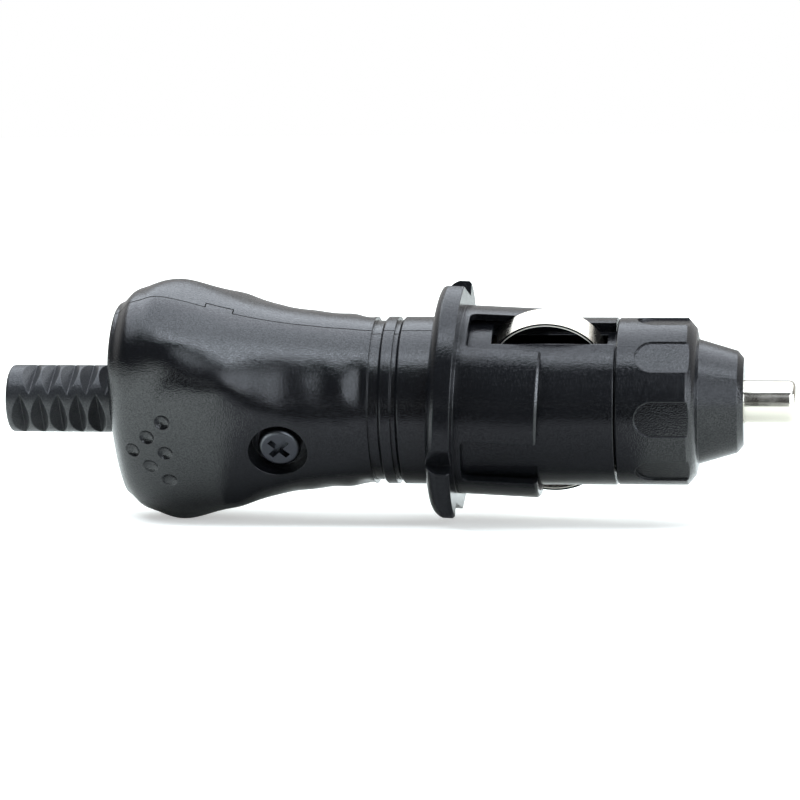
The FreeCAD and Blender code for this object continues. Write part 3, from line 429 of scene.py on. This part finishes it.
class PlugFinish(bpy.types.PropertyGroup):
    """Colours and surfaces of the plug's materials."""
    grip_colour: FloatVectorProperty(
        name="Grip colour", description="Colour of the two grip halves",
        subtype="COLOR", default=linear("#0d0e10"))
    barrel_colour: FloatVectorProperty(
        name="Barrel colour", description="Colour of barrel, collar and nose cap",
        subtype="COLOR", default=linear("#0e0f11"))
    sleeve_colour: FloatVectorProperty(
        name="Sleeve colour", description="Colour of the cable sleeve",
        subtype="COLOR", default=linear("#1c1d1f"))
    grip_roughness: FloatProperty(
        name="Grip roughness", description="Mean roughness of the grip",
        subtype="FACTOR", min=0, max=1, default=0.17)
    barrel_roughness: FloatProperty(
        name="Barrel roughness", description="Mean roughness of barrel, collar and nose cap",
        subtype="FACTOR", min=0, max=1, default=0.16)
    grain_size: FloatProperty(
        name="Grain size", description="Size of the mould's grain, coarse enough to show",
        unit="LENGTH", default=0.15 * MM)
    grain_depth: FloatProperty(
        name="Grain depth", description="Height of the mould's grain",
        unit="LENGTH", default=0.011 * MM)
    edge_round: FloatProperty(
        name="Edge round", description="Radius that catches light on moulded edges",
        unit="LENGTH", default=0.18 * MM)


class PlugSleeve(bpy.types.PropertyGroup):
    """The notched cable sleeve."""
    radius: FloatProperty(
        name="Radius", description="Outer radius of the sleeve", unit="LENGTH", default=4.23 * MM)
    bore: FloatProperty(
        name="Bore", description="Radius of the cable's way through", unit="LENGTH", default=2.9 * MM)
    end: FloatProperty(
        name="Cable end", description="Place of the sleeve's free end", unit="LENGTH",
        default=-57.4 * MM)
    shoulder: FloatProperty(
        name="Shoulder", description="Place where the trapped shoulder starts", unit="LENGTH",
        default=-40.55 * MM)
    inner_end: FloatProperty(
        name="Inner end", description="Place of the sleeve's end inside the grip", unit="LENGTH",
        default=-38.95 * MM)
    notch_depth: FloatProperty(
        name="Notch depth", description="Depth of a notch at its middle", unit="LENGTH",
        default=1.27 * MM)
    notch_pitch: FloatProperty(
        name="Notch pitch", description="Step from one notch of a row to the next",
        unit="LENGTH", default=2.45 * MM)
    first_notch: FloatProperty(
        name="First notch", description="Place of the first notch of a row", unit="LENGTH",
        default=-54.3 * MM)


class PlugStage(bpy.types.PropertyGroup):
    """Camera and lamps."""
    azimuth: FloatProperty(
        name="Azimuth", description="Camera's turn around the plug towards its tip",
        subtype="ANGLE", default=math.radians(7.6))
    elevation: FloatProperty(
        name="Elevation", description="Camera's height as an angle above the table",
        subtype="ANGLE", default=math.radians(5.3))
    roll: FloatProperty(
        name="Roll", description="Small turn of the picture about the line of sight",
        subtype="ANGLE", default=math.radians(-0.42))
    aim: FloatProperty(
        name="Aim", description="Place on the plug's axis in the middle of the picture",
        unit="LENGTH", default=-7.96 * MM)
    distance: FloatProperty(
        name="Distance", description="From that place to the camera",
        unit="LENGTH", default=406.7 * MM)
    lens: FloatProperty(
        name="Lens", description="Focal length on a 36 mm sensor",
        subtype="DISTANCE_CAMERA", default=146.9)
    softbox: FloatProperty(
        name="Softbox", description="Power of the large lamp overhead",
        unit="POWER", default=6.7)
    front: FloatProperty(
        name="Front lamp", description="Power of the strip lamp above the camera",
        unit="POWER", default=0.6)
    side: FloatProperty(
        name="Side box", description="Power of the softbox in front on the right",
        unit="POWER", default=1.6)
    tip: FloatProperty(
        name="Tip lamp", description="Power of the small lamp beyond the plug's tip",
        unit="POWER", default=1.8)
    fill: FloatProperty(
        name="Table fill", description="Power of the lamp that lights the table by the cable end",
        unit="POWER", default=0.1)


class PLUG_OT_grip(bpy.types.Operator):
    """Dress both grip halves"""
    bl_idname = "plug.grip"
    bl_label = "Grip halves"

    def execute(self, context):
        plastic = spark_eroded_abs()
        for node in ("handle_front_half", "handle_rear_half"):
            dress(node, plastic, (PLUG_LINE, SCREW_LINE), 0.45 * MM)
        return {"FINISHED"}


class PLUG_OT_screws(bpy.types.Operator):
    """Dress the grip screw and the screws inside"""
    bl_idname = "plug.screws"
    bl_label = "Screws"

    def execute(self, context):
        dark = plain_metal("black_oxide_steel", "#66686b", 0.32)
        dress("handle_screw", dark, (SCREW_LINE,))
        zinc = plain_metal("zinc_plated_steel", "#b9bcc0", 0.35)
        dress("cord_clamp_screws", zinc, CLAMP_LINES)
        for node in ("earth_terminal_screw", "live_terminal_screw"):
            dress(node, zinc, ())
        return {"FINISHED"}


def rod_along(name, start, end, radius, corners=96):
    """A closed cylinder along the plug's axis."""
    bpy.ops.object.select_all(action="DESELECT")
    bpy.ops.mesh.primitive_cylinder_add(
        vertices=corners, radius=radius, depth=end - start, location=((start + end) / 2, 0, 0),
        rotation=(0, math.pi / 2, 0))
    rod = bpy.context.object
    rod.name = name
    bpy.ops.object.transform_apply(location=True, rotation=True, scale=True)
    return rod


def combine(piece, tool, how):
    """Cuts a tool from a piece or joins it to the piece, and throws the tool away."""
    pick(piece)
    step = piece.modifiers.new(how.lower(), "BOOLEAN")
    step.operation = how
    step.object = tool
    step.use_self = True
    bpy.ops.object.modifier_apply(modifier=step.name)
    bpy.data.objects.remove(tool)


class PLUG_OT_cable_sleeve(bpy.types.Operator):
    """Model the cable sleeve with its four rows of staggered notches"""
    bl_idname = "plug.cable_sleeve"
    bl_label = "Cable sleeve"

    def execute(self, context):
        sleeve = context.scene.plug_sleeve
        piece = rod_along("cable_sleeve", sleeve.end, sleeve.inner_end, sleeve.radius)
        self.round_free_end(piece, sleeve)
        shoulder = rod_along("shoulder", sleeve.shoulder, sleeve.inner_end, SHOULDER_RADIUS)
        combine(piece, shoulder, "UNION")
        combine(piece, self.notches(sleeve), "DIFFERENCE")
        bore = rod_along("bore", sleeve.end - MM, sleeve.inner_end + MM, sleeve.bore)
        combine(piece, bore, "DIFFERENCE")
        bpy.ops.object.shade_smooth()
        true_normals(piece, (PLUG_LINE,), 0)
        piece.data.materials.append(soft_pvc())
        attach(piece, frame["nodes"]["strain_relief"]["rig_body"])
        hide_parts("strain_relief")
        return {"FINISHED"}

    def round_free_end(self, piece, sleeve):
        """Bevels the rim of the sleeve's free end."""
        pick(piece)
        bpy.ops.object.mode_set(mode="EDIT")
        bpy.ops.mesh.select_mode(type="EDGE")
        bpy.ops.mesh.select_all(action="DESELECT")
        bpy.ops.object.mode_set(mode="OBJECT")
        points = piece.data.vertices
        for edge in piece.data.edges:
            edge.select = all(points[i].co.x < sleeve.end + 0.01 * MM for i in edge.vertices)
        bpy.ops.object.mode_set(mode="EDIT")
        bpy.ops.mesh.bevel(offset=RIM_BEVEL, segments=4)
        bpy.ops.mesh.select_mode(type="VERT")
        bpy.ops.object.mode_set(mode="OBJECT")

    def notches(self, sleeve):
        """One V-shaped cutter, copied along and around the sleeve and joined to one tool."""
        bpy.ops.object.select_all(action="DESELECT")
        bpy.ops.mesh.primitive_cube_add(size=NOTCH_CUTTER, rotation=(0, math.pi / 4, 0))
        cutter = bpy.context.object
        bpy.ops.object.transform_apply(location=True, rotation=True, scale=True)
        bpy.ops.transform.resize(value=NOTCH_SHAPE)
        bpy.ops.object.transform_apply(location=True, rotation=True, scale=True)
        reach = sleeve.radius - sleeve.notch_depth + NOTCH_CUTTER * math.sqrt(0.5)
        copies = []
        for row in range(NOTCH_ROWS):
            turn = Matrix.Rotation(FIRST_ROW_TURN + row * math.tau / NOTCH_ROWS, 4, "X")
            for index in range(NOTCHES_A_ROW):
                place = sleeve.first_notch + (index - (row % 2) / 2) * sleeve.notch_pitch
                if place > LAST_NOTCH:
                    continue
                notch = bpy.data.objects.new("notch", cutter.data.copy())
                notch.data.transform(turn @ Matrix.Translation((place, 0, reach)))
                bpy.context.scene.collection.objects.link(notch)
                copies.append(notch)
        bpy.data.objects.remove(cutter)
        bpy.ops.object.select_all(action="DESELECT")
        for notch in copies:
            notch.select_set(True)
        bpy.context.view_layer.objects.active = copies[0]
        bpy.ops.object.join()
        return copies[0]


class PLUG_OT_body(bpy.types.Operator):
    """Dress barrel, collar and nose cap"""
    bl_idname = "plug.body"
    bl_label = "Barrel, collar and nose"

    def execute(self, context):
        nylon = glass_filled_nylon()
        dress("barrel", nylon)
        dress("nose_cap", nylon)
        dress("locking_collar", nylon, (COLLAR_LINE,), 0.3 * MM)
        return {"FINISHED"}


class PLUG_OT_contacts(bpy.types.Operator):
    """Dress the side contacts, the centre pin and the earth strap"""
    bl_idname = "plug.contacts"
    bl_label = "Contacts"

    def execute(self, context):
        strip = nickel_plated("nickel_plated_spring_strip", "#d9d3c6", 0.25 * MM, 0.2)
        # The strips' cut edges get a painted shade and a painted highlight
        edge = strip_edge_painted_shade_and_highlight()
        across = LYING @ Vector((0, 1, 0))
        for node in ("upper_contact_spring", "lower_contact_spring"):
            leaf = dress(node, strip, ())
            leaf.data.materials.append(edge)
            for facet in leaf.data.polygons:
                facet.material_index = int(abs(facet.normal.dot(across)) > 0.9)
        bar = nickel_plated("nickel_plated_turned_brass", "#ddd8cc", 0.2 * MM, 0.16)
        dress("centre_pin", bar)
        brass = plain_metal("stamped_brass", "#c9a85c", 0.3)
        for node in ("earth_strap", "live_contact"):
            dress(node, brass)
        return {"FINISHED"}


class PLUG_OT_fuse(bpy.types.Operator):
    """Dress the fuse, its spring and what holds them"""
    bl_idname = "plug.fuse"
    bl_label = "Fuse and holder"

    def execute(self, context):
        caps = plain_metal("nickel_plated_fuse_caps", "#d4d1c9", 0.22)
        for node in ("fuse_front_cap", "fuse_rear_cap"):
            dress(node, caps)
        dress("fuse_tube", fuse_glass())
        wire = plain_metal("drawn_steel_wire", "#a8a9aa", 0.3)
        dress("fuse_wire", wire)
        spring = dress("pin_spring", wire)
        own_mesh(spring)
        pale = natural_nylon()
        for node in ("fuse_holder", "pin_washer"):
            dress(node, pale)
        dress("cord_clamp_bar", bpy.data.materials["glass_filled_nylon"])
        return {"FINISHED"}


class PLUG_OT_stage(bpy.types.Operator):
    """Set the table, the lamps and the camera"""
    bl_idname = "plug.stage"
    bl_label = "Studio"

    def execute(self, context):
        stage = context.scene.plug_stage
        table_height = CAD_BOX[0].z
        bpy.ops.object.select_all(action="DESELECT")
        bpy.ops.mesh.primitive_plane_add(size=8, location=(0, 0, table_height))
        table = context.object
        table.name = "table"
        table.data.materials.append(white_table())
        self.lamp("softbox", (0.0, 0.14, 0.42), (0.0, 0.14, 0), (1.0, 0.76), stage.softbox)
        self.lamp("front_strip", (0.05, -0.2, 0.42), (0, 0, 0), (0.55, 0.1), stage.front)
        self.lamp("side_box", (0.29, -0.37, 0.17), (0, 0, 0), (0.5, 0.45), stage.side)
        self.lamp("tip_lamp", (0.55, -0.1, 0.1), (0, 0, 0), (0.25, 0.25), stage.tip)
        fill = self.lamp("table_fill", (-0.085, -0.05, 0.1), (-0.075, -0.04, table_height),
                         (0.06, 0.06), stage.fill)
        fill.visible_glossy = False
        self.flag("far_card", (-0.055, 0.04), (-0.6, -0.045), table_height, black_card())
        self.flag("near_card", (-0.03, 0.022), (-0.045, -0.003), table_height, grey_card())
        self.world()
        self.camera(stage)
        context.scene.view_settings.view_transform = "Standard"
        return {"FINISHED"}

    def lamp(self, name, place, aim, size, power):
        """A rectangular softbox that faces a point."""
        bpy.ops.object.light_add(type="AREA", location=place)
        lamp = bpy.context.object
        lamp.name = name
        lamp.data.shape = "RECTANGLE"
        lamp.data.size = size[0]
        lamp.data.size_y = size[1]
        lamp.data.energy = power
        lamp.data.color = (0.83, 0.9, 1.0)
        lamp.rotation_euler = (Vector(aim) - Vector(place)).to_track_quat("-Z", "Y").to_euler()
        return lamp

    def flag(self, name, across, ahead, table_height, material):
        """A card on the table in front, seen only in reflections, that darkens the middle."""
        place = (sum(across) / 2, sum(ahead) / 2, table_height + 0.2 * MM)
        bpy.ops.mesh.primitive_plane_add(size=1, location=place)
        card = bpy.context.object
        card.name = name
        card.scale = (across[1] - across[0], ahead[1] - ahead[0], 1)
        bpy.ops.object.transform_apply(location=False, rotation=False, scale=True)
        card.data.materials.append(material)
        card.visible_camera = False
        card.visible_diffuse = False
        card.visible_shadow = False

    def world(self):
        """White for the camera; for reflections a dim room with a pale backdrop behind the plug."""
        world = bpy.data.worlds.new("room")
        bpy.context.scene.world = world
        world.use_nodes = True
        tree = world.node_tree
        tree.nodes.clear()
        path = add_node(tree, "ShaderNodeLightPath")
        way = add_node(tree, "ShaderNodeTexCoord").outputs["Generated"]
        parts = add_node(tree, "ShaderNodeSeparateXYZ", {"Vector": way})
        backdrop = add_node(tree, "ShaderNodeMapRange", {
            "Value": parts.outputs["Y"], "From Min": -0.1, "From Max": 0.5,
            "To Min": 0.05, "To Max": 0.6})
        seen = add_node(tree, "ShaderNodeMapRange", {
            "Value": path.outputs["Is Camera Ray"], "To Min": backdrop.outputs[0], "To Max": 1.0})
        sky = add_node(tree, "ShaderNodeBackground", {
            "Color": (1, 1, 1, 1), "Strength": seen.outputs[0]})
        add_node(tree, "ShaderNodeOutputWorld", {"Surface": sky.outputs[0]})

    def camera(self, stage):
        """The camera looks along the photo's line of sight at a point on the plug's axis."""
        back = Vector((math.sin(stage.azimuth) * math.cos(stage.elevation),
                       -math.cos(stage.azimuth) * math.cos(stage.elevation),
                       math.sin(stage.elevation)))
        bpy.ops.object.camera_add(location=Vector((stage.aim, 0, 0)) + back * stage.distance)
        camera = bpy.context.object
        level = (-back).to_track_quat("-Z", "Y").to_matrix()
        camera.rotation_euler = (level @ Matrix.Rotation(stage.roll, 3, "Z")).to_euler()
        camera.data.lens = stage.lens
        camera.data.sensor_width = 36.0
        camera.data.clip_start = 0.01
        camera.data.clip_end = 20
        bpy.context.scene.camera = camera


def black_card():
    """Matt black flocked card."""
    material = empty_material("flocked_card")
    card = add_node(material.node_tree, "ShaderNodeBsdfDiffuse", {"Color": (0.002, 0.002, 0.002, 1)})
    return finish_material(material, card)


def grey_card():
    """Grey card that dims what the barrel's lower side mirrors."""
    material = empty_material("grey_card")
    card = add_node(material.node_tree, "ShaderNodeBsdfDiffuse", {"Color": (0.27, 0.27, 0.27, 1)})
    return finish_material(material, card)


def white_table():
    """Matt white laminate: it keeps the plug's shadow, and the camera sees it as pure white."""
    material = empty_material("white_laminate")
    tree = material.node_tree
    board = add_node(tree, "ShaderNodeBsdfDiffuse", {"Color": (*linear("#e6e8e0"), 1)})
    place = add_node(tree, "ShaderNodeTexCoord").outputs["Object"]
    reach = add_node(tree, "ShaderNodeVectorMath", {0: place}, operation="LENGTH")
    fade = add_node(tree, "ShaderNodeMapRange", {
        "Value": reach.outputs["Value"], "From Min": 0.08, "From Max": 0.4,
        "To Min": 0.45, "To Max": 1.0})
    path = add_node(tree, "ShaderNodeLightPath")
    lift = add_node(tree, "ShaderNodeMath", {
        0: path.outputs["Is Camera Ray"], 1: fade.outputs[0]}, operation="MULTIPLY")
    glow = add_node(tree, "ShaderNodeEmission", {
        "Color": (1, 1, 1, 1), "Strength": lift.outputs[0]})
    both = add_node(tree, "ShaderNodeAddShader", {0: board.outputs[0], 1: glow.outputs[0]})
    return finish_material(material, both)


class PLUG_PT_panel(bpy.types.Panel):
    """The plug's pieces and settings"""
    bl_idname = "PLUG_PT_panel"
    bl_label = "Lighter plug"
    bl_space_type = "VIEW_3D"
    bl_region_type = "UI"
    bl_category = "Lighter plug"

    def draw(self, context):
        scene = context.scene
        for group in (scene.plug_finish, scene.plug_sleeve, scene.plug_stage):
            box = self.layout.box()
            for name in group.bl_rna.properties.keys():
                if name not in ("rna_type", "name"):
                    box.prop(group, name)
        for operator in OPERATORS:
            self.layout.operator(operator.bl_idname)


OPERATORS = (
    PLUG_OT_grip,
    PLUG_OT_screws,
    PLUG_OT_cable_sleeve,
    PLUG_OT_body,
    PLUG_OT_contacts,
    PLUG_OT_fuse,
    PLUG_OT_stage,
)
CLASSES = (PlugFinish, PlugSleeve, PlugStage, *OPERATORS, PLUG_PT_panel)


def register():
    for item in CLASSES:
        bpy.utils.register_class(item)
    bpy.types.Scene.plug_finish = PointerProperty(type=PlugFinish)
    bpy.types.Scene.plug_sleeve = PointerProperty(type=PlugSleeve)
    bpy.types.Scene.plug_stage = PointerProperty(type=PlugStage)


def unregister():
    del bpy.types.Scene.plug_stage
    del bpy.types.Scene.plug_sleeve
    del bpy.types.Scene.plug_finish
    for item in reversed(CLASSES):
        bpy.utils.unregister_class(item)


def main():
    register()
    bpy.ops.plug.grip()
    bpy.ops.plug.screws()
    bpy.ops.plug.cable_sleeve()
    bpy.ops.plug.body()
    bpy.ops.plug.contacts()
    bpy.ops.plug.fuse()
    bpy.ops.plug.stage()


if __name__ == "__main__":
    main()
